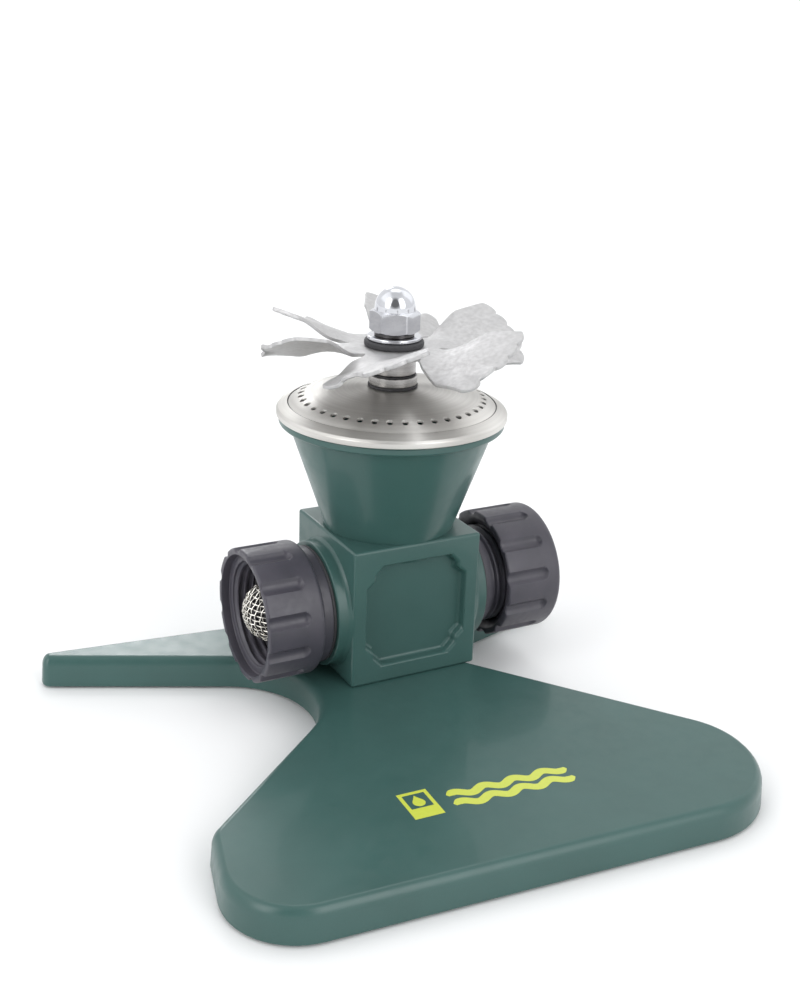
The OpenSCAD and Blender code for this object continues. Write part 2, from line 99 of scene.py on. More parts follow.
def corner(a, b, c, radius, steps):
    """Points of the arc that rounds the corner at b between a and c."""
    a, b, c = Vector(a), Vector(b), Vector(c)
    u, v = (a - b).normalized(), (c - b).normalized()
    half = math.acos(max(-1.0, min(1.0, u.dot(v)))) / 2
    if radius <= 0 or half > math.radians(89.5):
        return [tuple(b)]
    centre = b + (u + v).normalized() * radius / math.sin(half)
    start, end = b + u * radius / math.tan(half) - centre, b + v * radius / math.tan(half) - centre
    first = math.atan2(start.y, start.x)
    turn = (math.atan2(end.y, end.x) - first + 3 * math.pi) % (2 * math.pi) - math.pi
    angles = [first + turn * i / steps for i in range(steps + 1)]
    return [(centre.x + radius * math.cos(t), centre.y + radius * math.sin(t)) for t in angles]


def rounded(points, steps=5, closed=True):
    """An outline with rounded corners; a point is (x, y) or (x, y, radius)."""
    n = len(points)
    outline = []
    for i, p in enumerate(points):
        radius = p[2] if len(p) > 2 else 0
        if not closed and i in (0, n - 1):
            outline.append(p[:2])
            continue
        outline += corner(points[i - 1][:2], p[:2], points[(i + 1) % n][:2], radius, steps)
    return outline


def circle(radius, z, steps=ROUND):
    """A ring of points at one height, or one point where the radius is 0."""
    if radius < 1e-6:
        return [(0.0, 0.0, z)]
    angles = [2 * math.pi * i / steps for i in range(steps)]
    return [(radius * math.cos(t), radius * math.sin(t), z) for t in angles]


def join_rings(rings, loop=False):
    """Vertices and faces of a skin through rings of points; a ring of one point is a pole."""
    verts, starts = [], []
    for ring in rings:
        starts.append(len(verts))
        verts += ring
    faces = []
    pairs = list(zip(range(len(rings)), range(1, len(rings))))
    if loop:
        pairs.append((len(rings) - 1, 0))
    for a, b in pairs:
        na, nb = len(rings[a]), len(rings[b])
        n = max(na, nb)
        for i in range(n):
            j = (i + 1) % n
            corners = [starts[a] + i % na, starts[a] + j % na, starts[b] + j % nb, starts[b] + i % nb]
            faces.append(list(dict.fromkeys(corners)))
    return verts, faces


def lathe(profile, steps=ROUND, loop=True):
    """A turned solid from its profile of (radius, z) points."""
    return join_rings([circle(r, z, steps) for r, z in profile], loop)


def together(*shapes):
    """Several shapes as one list of vertices and one of faces."""
    verts, faces = [], []
    for shape_verts, shape_faces in shapes:
        faces += [[i + len(verts) for i in face] for face in shape_faces]
        verts += list(shape_verts)
    return verts, faces


def moved(shape, matrix):
    return [tuple(matrix @ Vector(v)) for v in shape[0]], shape[1]


def prism(outline, low, high):
    """A straight solid with the outline as its plan."""
    return join_caps([[(x, y, low) for x, y in outline], [(x, y, high) for x, y in outline]])


def join_caps(rings):
    """A skin through equal rings, closed by one flat face at each end."""
    verts, faces = join_rings(rings)
    n = len(rings[0])
    last = len(verts) - n
    return verts, faces + [list(range(n))[::-1], list(range(last, last + n))]


def ladder_caps(rings):
    """A skin through equal rings whose two halves face each other: a cap is a ladder between them."""
    verts, faces = join_rings(rings)
    n = len(rings[0])
    for first in (0, len(verts) - n):
        for i in range(n // 2):
            corners = [first + i, first + i + 1, first + n - 2 - i, first + n - 1 - i]
            faces.append(list(dict.fromkeys(corners)))
    return verts, faces


def make_object(name, shape, place=ROW, sharp=32):
    """A mesh object from a shape in millimetres, with its normals outwards."""
    mesh = bpy.data.meshes.new(name)
    mesh.from_pydata([tuple(c * MM for c in v) for v in shape[0]], [], shape[1])
    work = bmesh.new()
    work.from_mesh(mesh)
    bmesh.ops.remove_doubles(work, verts=work.verts, dist=1e-7)
    bmesh.ops.recalc_face_normals(work, faces=work.faces)
    work.to_mesh(mesh)
    work.free()
    mesh.shade_smooth()
    mesh.set_sharp_from_angle(angle=math.radians(sharp))
    thing = bpy.data.objects.new(name, mesh)
    bpy.context.scene.collection.objects.link(thing)
    thing.matrix_world = place
    return thing


def finish_piece(thing, body, slot, finish, *nodes):
    """Gives a piece its material and its body, and hides the CAD nodes it stands for; slot is not used."""
    thing.data.materials.clear()
    thing.data.materials.append(finish)
    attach(thing, body)
    if nodes:
        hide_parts(*nodes)
    return thing


def boolean(thing, other, operation):
    """Joins other to thing, or cuts it away, and removes other."""
    change = thing.modifiers.new(operation, "BOOLEAN")
    change.operation = operation
    change.solver = "EXACT"
    change.object = other
    apply_modifiers(thing)
    bpy.data.objects.remove(other)


def apply_modifiers(thing):
    """Replaces the mesh by what its modifiers make of it."""
    bpy.context.view_layer.update()
    graph = bpy.context.evaluated_depsgraph_get()
    mesh = bpy.data.meshes.new_from_object(thing.evaluated_get(graph))
    thing.modifiers.clear()
    thing.data = mesh


def even_normals(thing, sharp=32):
    """Flat faces keep flat shading next to rounded edges."""
    thing.data.shade_smooth()
    thing.data.set_sharp_from_angle(angle=math.radians(sharp))
    weight = thing.modifiers.new("even normals", "WEIGHTED_NORMAL")
    weight.keep_sharp = True
    weight.weight = 80


# ------------------------------------------------------------- materials


class Nodes:
    """A short way to build one material's nodes."""

    def __init__(self, name):
        self.material = bpy.data.materials.new(name)
        self.material.use_nodes = True
        self.tree = self.material.node_tree
        self.shader = self.tree.nodes["Principled BSDF"]
        self.coords = None

    def add(self, kind, **inputs):
        node = self.tree.nodes.new(kind)
        for key, value in inputs.items():
            self.put(node.inputs[key.replace("_", " ")], value)
        return node

    def put(self, socket, value):
        if isinstance(value, bpy.types.NodeSocket):
            self.tree.links.new(value, socket)
        else:
            socket.default_value = value

    def millimetres(self):
        """The piece's own coordinates in millimetres."""
        if self.coords is None:
            place = self.add("ShaderNodeTexCoord")
            scale = self.tree.nodes.new("ShaderNodeVectorMath")
            scale.operation = "SCALE"
            self.put(scale.inputs[0], place.outputs["Object"])
            scale.inputs["Scale"].default_value = 1 / MM
            self.coords = scale.outputs[0]
        return self.coords

    def turned(self, fine):
        """Coordinates that change across the rings of a turned face, and little along them."""
        split = self.add("ShaderNodeSeparateXYZ", Vector=self.millimetres())
        flat = self.add("ShaderNodeCombineXYZ", X=split.outputs[0], Y=split.outputs[1])
        length = self.tree.nodes.new("ShaderNodeVectorMath")
        length.operation = "LENGTH"
        self.put(length.inputs[0], flat.outputs[0])
        across = self.math("MULTIPLY", length.outputs["Value"], fine)
        up = self.math("MULTIPLY", split.outputs[2], fine)
        return self.add("ShaderNodeCombineXYZ", X=across, Y=up).outputs[0]

    def noise(self, scale, detail=2.0, vector=None, rough=0.5):
        """Noise with this many features for each millimetre."""
        node = self.add("ShaderNodeTexNoise", Scale=scale, Detail=detail, Roughness=rough)
        self.put(node.inputs["Vector"], vector or self.millimetres())
        return node.outputs["Fac"]

    def math(self, operation, a, b=0.0):
        node = self.tree.nodes.new("ShaderNodeMath")
        node.operation = operation
        self.put(node.inputs[0], a)
        self.put(node.inputs[1], b)
        return node.outputs[0]

    def spread(self, value, low, high, from_low=0.3, from_high=0.7):
        """Maps noise values to a range."""
        node = self.add("ShaderNodeMapRange", Value=value)
        node.inputs["From Min"].default_value = from_low
        node.inputs["From Max"].default_value = from_high
        node.inputs["To Min"].default_value = low
        node.inputs["To Max"].default_value = high
        return node.outputs[0]

    def blend(self, value, first, second):
        """A colour between two by a value."""
        node = self.tree.nodes.new("ShaderNodeMix")
        node.data_type = "RGBA"
        self.put(node.inputs["Factor"], value)
        self.put(node.inputs["A"], first)
        self.put(node.inputs["B"], second)
        return node.outputs["Result"]

    def bump(self, height, depth, below=None):
        """A bump of this depth in millimetres, on top of another one."""
        node = self.add("ShaderNodeBump", Height=height)
        node.inputs["Strength"].default_value = 1.0
        node.inputs["Distance"].default_value = depth * MM
        if below:
            self.put(node.inputs["Normal"], below)
        return node.outputs[0]

    def done(self, **settings):
        for key, value in settings.items():
            self.put(self.shader.inputs[key.replace("_", " ")], value)
        return self.material


def colour(red, green, blue):
    """A linear colour from 0-255 display values."""
    return tuple(((c / 255 + 0.055) / 1.055) ** 2.4 if c > 10 else c / 255 / 12.92
                 for c in (red, green, blue)) + (1.0,)


def enamel():
    """Glossy bottle-green enamel on a casting, with a faint orange peel."""
    n = Nodes("green_enamel")
    tone = n.blend(n.spread(n.noise(0.05, 3), 0, 1), colour(54, 84, 80), colour(58, 90, 86))
    grain = n.blend(n.spread(n.noise(3.5, 2), 0, 0.12), tone, colour(70, 106, 102))
    peel = n.bump(n.noise(0.55, 1.0), 0.004)
    skin = n.bump(n.noise(2.6, 2.0), 0.0008, peel)
    return n.done(Base_Color=grain, Roughness=n.spread(n.noise(0.3, 3), 0.3, 0.42), IOR=1.5,
                  Normal=skin, Specular_IOR_Level=0.35, Coat_Weight=0.22, Coat_Roughness=0.08,
                  Coat_Normal=peel)


def moulded():
    """Charcoal moulded plastic with a fine matt grain."""
    n = Nodes("charcoal_plastic")
    tone = n.blend(n.spread(n.noise(0.12, 4), 0, 1), colour(62, 60, 68), colour(72, 69, 78))
    fine = n.bump(n.noise(5.0, 2.0), 0.006)
    swirl = n.bump(n.noise(0.35, 2.0), 0.01, fine)
    return n.done(Base_Color=tone, Roughness=n.spread(n.noise(0.6, 4), 0.34, 0.5), IOR=1.5, Normal=swirl)


def rubber():
    """Matt black rubber."""
    n = Nodes("black_rubber")
    tone = n.blend(n.noise(0.8, 3), colour(46, 46, 49), colour(60, 59, 61))
    return n.done(Base_Color=tone, Roughness=n.spread(n.noise(2.0, 3), 0.55, 0.75),
                  Normal=n.bump(n.noise(4.0, 3.0), 0.01))


def nylon():
    """Off-white bearing nylon."""
    n = Nodes("nylon")
    tone = n.blend(n.noise(0.5, 3), colour(205, 198, 180), colour(222, 216, 200))
    return n.done(Base_Color=tone, Roughness=n.spread(n.noise(1.0, 3), 0.35, 0.5),
                  Normal=n.bump(n.noise(3.0, 2.0), 0.004), Subsurface_Weight=0.1)


def turned_metal(name, light, dark, painted_reflection_shade, rough, groove, anisotropy):
    """Metal finished on a lathe: fine rings, and painted reflection streaks across them: six darker sectors
    of reflected light painted into the colour.
    """
    n = Nodes(name)
    rings = n.noise(1.0, 3.0, n.turned(9.0), 0.6)
    broad = n.noise(1.0, 2.0, n.turned(1.3), 0.5)
    tone = n.blend(n.spread(broad, 0, 1), light, dark)
    place = n.add("ShaderNodeSeparateXYZ", Vector=n.millimetres())
    # Painted reflection: six light and dark sectors around the axis, turned towards the camera, stand in for
    # the studio's reflections on spun metal
    painted_streak_count, first_painted_streak = 6.0, 0.77
    turn = n.math("MULTIPLY", n.math("ARCTAN2", place.outputs[1], place.outputs[0]), painted_streak_count)
    painted_reflection_streaks = n.math("COSINE", n.math("SUBTRACT", turn, first_painted_streak))
    tone = n.blend(n.spread(painted_reflection_streaks, 0.45, 0.0, -1, 1), tone, painted_reflection_shade)
    tangent = n.tree.nodes.new("ShaderNodeTangent")
    tangent.direction_type = "RADIAL"
    tangent.axis = "Z"
    return n.done(Base_Color=tone, Metallic=1.0, Roughness=n.spread(rings, rough * 0.85, rough * 1.2),
                  Anisotropic=anisotropy, Anisotropic_Rotation=0.25, Tangent=tangent.outputs[0],
                  Normal=n.bump(rings, groove))


def plain_metal(name, light, dark, rough, grain, dent):
    """Bright metal with a fine grain and a slight unevenness."""
    n = Nodes(name)
    smear = n.noise(0.25, 4)
    tone = n.blend(n.spread(smear, 0, 1), light, dark)
    fine = n.bump(n.noise(6.0, 3.0), grain)
    return n.done(Base_Color=tone, Metallic=1.0,
                  Roughness=n.spread(n.noise(0.9, 4), rough * 0.8, rough * 1.3),
                  Normal=n.bump(n.noise(0.22, 1.5), dent, fine))


def print_ink():
    """Yellow-green printing ink."""
    n = Nodes("printed_mark")
    tone = n.blend(n.noise(1.5, 3), colour(190, 200, 62), colour(202, 210, 80))
    return n.done(Base_Color=tone, Roughness=n.spread(n.noise(3.0, 2), 0.3, 0.45),
                  Normal=n.bump(n.noise(3.0, 2.0), 0.004), Coat_Weight=0.4, Coat_Roughness=0.1)


def pale_floor():
    """Plain pale studio floor."""
    n = Nodes("studio_floor")
    return n.done(Base_Color=(0.86, 0.86, 0.86, 1), Roughness=0.9)


ENAMEL = enamel()
PLASTIC = moulded()
RUBBER = rubber()
NYLON = nylon()
# The third colour of each is the dark of the painted reflection streaks
SATIN = turned_metal("satin_stainless", colour(224, 222, 218), colour(210, 207, 203), colour(150, 147, 142),
                     0.42, 0.0006, 0.4)
TURNED = turned_metal("turned_steel", colour(182, 180, 178), colour(156, 154, 153), colour(120, 118, 116),
                      0.26, 0.001, 0.6)
SHEET = plain_metal("bright_stainless", colour(196, 195, 195), colour(189, 188, 188), 0.55, 0.0003, 0.0004)
CHROME = plain_metal("chrome", colour(216, 217, 221), colour(206, 207, 212), 0.07, 0.0, 0.0002)
ZINC = plain_metal("zinc_steel", colour(190, 188, 178), colour(165, 163, 156), 0.35, 0.002, 0.002)
SPRING = plain_metal("dark_spring_steel", colour(92, 90, 90), colour(70, 68, 68), 0.35, 0.002, 0.002)
WIRE = plain_metal("wire_mesh", colour(225, 222, 215), colour(196, 192, 184), 0.22, 0.0008, 0.001)
INK = print_ink()
FLOOR = pale_floor()


# ------------------------------------------------------------------ base
# The base's plan, as the corners of its outline from the head's axis. It repeats the CAD base.
base_low, base_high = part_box("base")
base_h = base_high.z / MM
long_arm = (head_place.x - base_low.x) / MM
lobe_reach = (base_high.x - head_place.x) / MM
front_y = (base_low.y - head_place.y) / MM
short_arm = 58.0
arm_near, short_arm_near, arm_w = 20.9, 21.0, 5.0
rear_y = (base_high.y - head_place.y) / MM
foot_h = 0.6
BASE = Matrix.Translation((head_place.x, head_place.y, 0))


def arm_corners(waist, rear, reach, near, arms_in, arm_r):
    """The two corners at an arm's tip, near one first, with the arm shortened by arms_in."""
    end = reach - arms_in
    near_y = mix(waist[1], near, (end - waist[0]) / (reach - waist[0]))
    return [(end, near_y, arm_r), (end, mix(rear[1], near + arm_w, end / reach), arm_r)]


def base_corners(arms_in, arm_r):
    """Corners of the plan, counter-clockwise from the front right, with both arms shortened."""
    short_waist, rear, long_waist = (7.5, -0.7, 10.0), (0.0, rear_y, 60.0), (5.9, -5.5, 24.0)
    right = arm_corners(short_waist, rear, short_arm, short_arm_near, arms_in, arm_r)
    left = arm_corners(long_waist, rear, long_arm, arm_near, arms_in, arm_r)
    right_lobe = (lobe_reach + 0.3, front_y + 4.95, 23.5), (lobe_reach - 0.1, front_y + 35.95, 20.0)
    left_lobe = (65.0, front_y + 32.45, 6.0), (69.3, front_y - 0.85, 16.5)
    mirrored = [(-x, y, r) for x, y, r in (*left[::-1], long_waist, *left_lobe)]
    return [*right_lobe, short_waist, *right, rear] + mirrored


def base_outline(inset, arms_in=0.0, arm_r=2.45, steps=16):
    """The base's rounded plan, moved inwards."""
    cs = base_corners(arms_in, arm_r)
    n = len(cs)
    moved_in = []
    for i, (x, y, radius) in enumerate(cs):
        here, before, after = Vector((x, y)), Vector(cs[i - 1][:2]), Vector(cs[(i + 1) % n][:2])
        u, v = (here - before).normalized(), (after - here).normalized()
        left_u, left_v = Vector((-u.y, u.x)), Vector((-v.y, v.x))
        place = here + (left_u + left_v) * inset / (1 + left_u.dot(left_v))
        bend = 1 if u.x * v.y - u.y * v.x > 0 else -1
        moved_in.append((place.x, place.y, radius - bend * inset))
    return rounded(moved_in, steps)


def make_base():
    """Low cast shell with a rounded upper edge, a skirt and four feet."""
    top_t = 2.6
    wall = 2.4
    edge_in, edge_drop, draft = 2.0, 3.2, 0.35
    hollow_in, hollow_r = 8.5, 3.6
    rings = [[(x, y, base_h - top_t) for x, y in base_outline(draft + wall, hollow_in, hollow_r)],
             [(x, y, foot_h + 0.3) for x, y in base_outline(draft + wall - 0.3, hollow_in, hollow_r)],
             [(x, y, foot_h) for x, y in base_outline(draft + wall - 0.7, hollow_in, hollow_r)],
             [(x, y, foot_h) for x, y in base_outline(0.5)],
             [(x, y, foot_h + 0.15) for x, y in base_outline(0.15)],
             [(x, y, foot_h + 0.5) for x, y in base_outline(0.0)]]
    turns = 12
    for k in range(turns + 1):
        t = math.pi / 2 * k / turns
        z = base_h - edge_drop * (1 - math.sin(t))
        rings.append([(x, y, z) for x, y in base_outline(draft + edge_in * (1 - math.cos(t)))])
    thing = make_object("base_shell", ladder_caps(rings), BASE)
    for x, y, foot_r in ((44, front_y + 28, 7), (-51, front_y + 17, 7),
                         (short_arm - 5.2, arm_near + 4, 1.9), (5.2 - long_arm, arm_near + 2.6, 1.9)):
        into_top = base_h - top_t + 0.4
        profile = rounded([(0, 0), (foot_r, 0, 0.5), (foot_r, into_top), (0, into_top)], 4, closed=False)
        foot = moved(lathe(profile, 48, loop=False), Matrix.Translation((x, y, 0)))
        boolean(thing, make_object("foot", foot, BASE), "UNION")
    even_normals(thing)
    return finish_piece(thing, "stand", "green_enamel", ENAMEL, "base")


make_base()


def make_mark():
    """Generic printed mark: a drop in a frame, and a band of waves."""
    low, high = base_h - 0.02, base_h + 0.03

    def framed(outer, inner):
        return join_rings([[(x, y, z) for x, y in loop] for loop, z in
                           ((outer, low), (outer, high), (inner, high), (inner, low))], loop=True)

    frame_shape = framed([(0, 0), (7.2, 0), (7.2, 10), (0, 10)],
                         [(0.9, 3.7), (6.3, 3.7), (6.3, 9.1), (0.9, 9.1)])
    drop = []
    for i in range(40):
        t = 2 * math.pi * i / 40
        tip = max(0.0, math.cos(t)) ** 5
        drop.append((3.6 + 1.45 * math.sin(t) * (1 - 0.75 * tip), 5.7 + 1.45 * math.cos(t) + 1.35 * tip))
    shapes = [frame_shape, prism(drop[::-1], low, high)]
    wave, swing, band_x, band_w, steps = 2 * math.pi / 7.6, 0.8, 10.6, 30.4, 120
    for level in (1.9, 5.6):
        path = []
        for i in range(steps + 1):
            x = band_x + band_w * i / steps
            y = level + swing * math.sin(wave * (x - band_x))
            slope = swing * wave * math.cos(wave * (x - band_x))
            half = 1.15 * min(1.0, 0.4 + i / 8, 0.4 + (steps - i) / 8)
            across = Vector((-slope, 1, 0)).normalized() * half
            path.append([tuple(Vector((x, y, z)) + across * k) for k, z in
                         ((-1, low), (1, low), (1, high), (-1, high))])
        shapes.append(join_caps(path))
    place = BASE @ Matrix.Translation((-22.3 * MM, -77.9 * MM, 0)) @ Matrix.Rotation(math.radians(4), 4, "Z")
    thing = make_object("printed_mark", together(*shapes), place)
    thing.data.materials.append(INK)
    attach(thing, "stand")


make_mark()


# ---------------------------------------------------------- body casting
block_z = extent("body_casting")[0]
seat_z = extent("clamp_ring")[0]
rim_z = extent("body_casting")[1]
lip_r = extent("body_casting")[3]
block_w, block_d, block_h = 36.0, 34.0, 37.0
block_top = block_z + block_h


def block_shape():
    """The square block with a recessed panel, notched in steps at its corners, on its front and back."""
    margin, depth, slope = (3.8, 4.7), 2.6, 0.25
    w, h = block_w / 2, block_h / 2
    outer = [(-w, -h), (w, -h), (w, h), (-w, h)]

    def panel(shrink):
        pw, ph = w - margin[0] - shrink, h - margin[1] - shrink
        notch = [(0, 6.0), (2.3, 4.0), (2.3, 2.5), (4.8, 0)]
        points = []
        for sx, sy, steps in ((-1, -1, notch), (1, -1, notch[::-1]), (1, 1, notch), (-1, 1, notch[::-1])):
            points += [(sx * (pw - x), sy * (ph - y)) for x, y in steps]
        return points

    verts, faces = [], []
    for side in (-1, 1):
        y = side * block_d / 2
        face, mouth, floor = len(verts), len(verts) + 4, len(verts) + 20
        verts += [(x, y, z) for x, z in outer] + [(x, y, z) for x, z in panel(0)]
        verts += [(x, y - side * depth, z) for x, z in panel(slope)]
        for i in range(4):
            first = mouth + 4 * i
            faces += [[face + i, first + k, first + k + 1] for k in range(3)]
            faces.append([face + i, first + 3, mouth + (4 * i + 4) % 16, face + (i + 1) % 4])
        faces += [[mouth + i, mouth + (i + 1) % 16, floor + (i + 1) % 16, floor + i] for i in range(16)]
        faces.append([floor + i for i in range(16)])
    faces += [[i, (i + 1) % 4, 36 + (i + 1) % 4, 36 + i] for i in range(4)]
    middle = Matrix.Translation((0, 0, block_z + block_h / 2))
    return moved((verts, faces), middle)


def make_casting():
    """Block, hose necks, cone and lip, cast in one piece."""
    cone_foot, cone_top, lip_z = 16.8, 26.2, seat_z - 2.1
    neck_out, neck_r, root_r = 21.5, 16.3, 16.9
    thing = make_object("body_casting_shell", block_shape(), HEAD)
    edge = thing.modifiers.new("edges", "BEVEL")
    edge.width = 0.8 * MM
    edge.segments = 4
    edge.limit_method = "ANGLE"
    edge.angle_limit = math.radians(30)
    apply_modifiers(thing)
    cone = rounded([(0, block_top - 6), (cone_foot - 2, block_top - 6), (cone_foot, block_top),
                    (cone_top, lip_z, 0.6), (lip_r, lip_z, 0.7), (lip_r, seat_z, 0.5),
                    (28.1, seat_z), (28.1, rim_z), (23.2, rim_z), (23.2, lip_z - 2),
                    (13.2, block_top + 1), (0, block_top + 1)], 5, closed=False)
    boolean(thing, make_object("cone", lathe(cone, 256, loop=False), HEAD), "UNION")
    half = block_w / 2
    for place in (INLET, OUTLET):
        neck = rounded([(0, half - 3), (root_r, half - 3), (root_r, half), (neck_r, half + 0.8, 1.2),
                        (neck_r, neck_out, 0.4), (9.6, neck_out), (9.6, neck_out - 6), (0, neck_out - 6)],
                       5, closed=False)
        boolean(thing, make_object("neck", lathe(neck, ROUND, loop=False), place), "UNION")
    even_normals(thing, 40)
    return finish_piece(thing, "stand", "green_enamel", ENAMEL, "body_casting")


make_casting()


# ------------------------------------------------------------ nozzle dish
dish_z = extent("nozzle_dish")[0]
# Radius of the spindle's shank
stud_r = 3.175
jets = 40
jet_r, jet_circle = 0.75, 23.0
dish_edge = 26.6


def dish_height(r):
    """Height of the dish's upper face above its underside's edge, by radius."""
    knots = [(0, 5.2), (7, 5.2), (10.5, 4.85), (14, 4.45), (17, 4.05), (19.5, 3.6), (21.5, 3.1),
             (23, 2.6), (24, 2.15), (25, 1.6), (25.6, 1.15), (26, 0.8), (dish_edge, 0.52)]
    for (r0, z0), (r1, z1) in zip(knots, knots[1:]):
        if r <= r1:
            return mix(z0, z1, (r - r0) / (r1 - r0))
    return knots[-1][1]


def smooth_dish(r):
    """dish_height with its corners eased."""
    return sum(dish_height(r + d * 0.12) for d in range(-4, 5)) / 9


def make_dish():
    """Pressed dish with a ring of round jet holes."""
    thick = 0.7
    around = 24
    sector = 2 * math.pi / jets
    start = math.radians(0.78 * 360 / jets)
    in_r, out_r = jet_circle - 1.6, jet_circle + 1.6
    verts, faces = [], []

    def add(ring):
        verts.extend(ring)
        return list(range(len(verts) - len(ring), len(verts)))

    def surface(r, t, drop=0.0):
        return (r * math.cos(t), r * math.sin(t), dish_z + smooth_dish(r) - drop)

    def stitch(a, b, wrap=False):
        n = len(a)
        for i in range(n if wrap else n - 1):
            j = (i + 1) % n
            faces.append([a[i], a[j], b[j], b[i]])

    for drop in (0.0, thick):
        for k in range(jets):
            middle = start + k * sector
            rims = []
            for step in (0.0, 0.15, 0.4, 0.7, 1.0):
                ring = []
                for i in range(around):
                    t = 2 * math.pi * i / around
                    hole_r = jet_circle + (jet_r + 0.12) * math.cos(t)
                    hole_t = (jet_r + 0.12) * math.sin(t) / jet_circle
                    reach = max(abs(math.cos(t)), abs(math.sin(t)))
                    box_r = jet_circle + (out_r - jet_circle) * math.cos(t) / reach
                    box_t = sector / 2 * math.sin(t) / reach
                    ring.append(surface(mix(hole_r, box_r, step), middle + mix(hole_t, box_t, step), drop))
                rims.append(add(ring))
            for a, b in zip(rims, rims[1:]):
                stitch(a, b, wrap=True)
            lip = add([surface(jet_circle + jet_r * math.cos(2 * math.pi * i / around),
                               middle + jet_r * math.sin(2 * math.pi * i / around) / jet_circle,
                               drop + (0.1 if drop == 0 else -0.1)) for i in range(around)])
            stitch(rims[0], lip, wrap=True)
            if drop == 0.0:
                tops = lip if k == 0 else tops + lip
            else:
                under = tops[k * around:(k + 1) * around]
                stitch(under, lip, wrap=True)
    # Plain zones inside and outside the ring of holes share the box's points on its edges
    per_sector = around // 4
    angles = [start - sector / 2 + sector * (k + i / per_sector)
              for k in range(jets) for i in range(per_sector)]

    def even(t):
        """Angles as the square frame of a hole spaces them."""
        k = (t - start + sector / 2) / sector
        whole = math.floor(k + 1e-9)
        part = (k - whole) * 2 - 1
        return start + whole * sector + sector / 2 * math.tan(part * math.pi / 4)

    angles = [even(t) for t in angles]
    inner = [stud_r + 0.2, 5, 7, 8.5, 10.5, 12, 14, 15.5, 17, 18.5, 19.5, 20.5, in_r]
    outer = [out_r, 24.9, 25.2, 25.5, 25.8, 26.1, 26.35, dish_edge]
    hem = []
    for drop in (0.0, thick):
        for radii in (inner, outer):
            rings = [add([surface(r, t, drop) for t in angles]) for r in radii]
            for a, b in zip(rings, rings[1:]):
                stitch(a, b, wrap=True)
            hem += [rings[0], rings[-1]]
    stitch(hem[0], hem[4], wrap=True)
    stitch(hem[3], hem[7], wrap=True)
    thing = make_object("dish", (verts, faces), HEAD)
    return finish_piece(thing, "stand", "satin_stainless", SATIN, "nozzle_dish")


make_dish()


def make_clamp_ring():
    """Bright ring rolled over the dish: a cone that meets the dish, over a short upright band."""
    low, _, _, out_r = extent("clamp_ring")
    in_r, in_z, shoulder_r, shoulder_z = 26.42, low + 3.05, out_r - 0.5, low + 1.95
    profile = rounded([(out_r - 0.6, low, 0.12), (out_r, low, 0.25), (out_r, low + 1.35, 0.5),
                       (shoulder_r, shoulder_z, 0.5), (in_r, in_z + 0.05, 0.06), (in_r, in_z - 0.15, 0.04),
                       (shoulder_r - 0.25, shoulder_z - 0.35, 0.3), (out_r - 0.6, low + 1.2, 0.3)], 8)
    thing = make_object("rolled_ring", lathe(profile, 256), HEAD)
    return finish_piece(thing, "stand", "satin_stainless", SATIN, "clamp_ring")


make_clamp_ring()


def make_painted_gap_shadow():
    """Painted shadow: a thin black rubber ring laid on the dish at the ring's inner edge stands in for the
    shade of the gap, a dark line between the dish and the ring.
    """
    top = dish_z + 0.84
    profile = rounded([(26.13, top - 0.3), (26.44, top - 0.3), (26.44, top, 0.1), (26.13, top, 0.1)], 4)
    # A dark strip where there is only the shade of the gap between dish and ring
    thing = make_object("painted_gap_shadow", lathe(profile, 256), HEAD)
    thing.data.materials.append(RUBBER)
    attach(thing, "stand")


make_painted_gap_shadow()


# ----------------------------------------------------- spindle and stack


def washer(name, node, body, slot, finish, edge, place=HEAD):
    """A flat ring with rounded edges in the place of its CAD node."""
    low, high, in_r, out_r = extent(node, place)
    profile = rounded([(in_r, low, edge * 0.6), (out_r, low, edge), (out_r, high, edge),
                       (in_r, high, edge * 0.6)], 6)
    thing = make_object(name, lathe(profile), place)
    return finish_piece(thing, body, slot, finish, node)


washer("dish_seal", "spindle_seal", "stand", "black_rubber", RUBBER, 0.3)
washer("bush", "lower_bush", "stand", "turned_steel", TURNED, 0.22)
washer("thrust_disc", "thrust_washer", "stand", "nylon", RUBBER, 0.1)
washer("hub_rubber", "rotor_rubber_washer", "spinner", "black_rubber", RUBBER, 0.6)
washer("clamp_washer", "steel_washer", "stand", "zinc_steel", CHROME, 0.3)


def make_hub():
    """Turned hub with a bored neck that holds the sheet."""
    low, high, in_r, out_r = extent("rotor_hub")
    neck, step = 4.9, high - 0.9
    profile = rounded([(in_r, low, 0.15), (out_r, low, 0.3), (out_r, step, 0.2), (neck, step),
                       (neck, high, 0.1), (in_r, high, 0.1)], 5)
    thing = make_object("hub", lathe(profile), HEAD)
    return finish_piece(thing, "spinner", "turned_steel", TURNED, "rotor_hub")


make_hub()


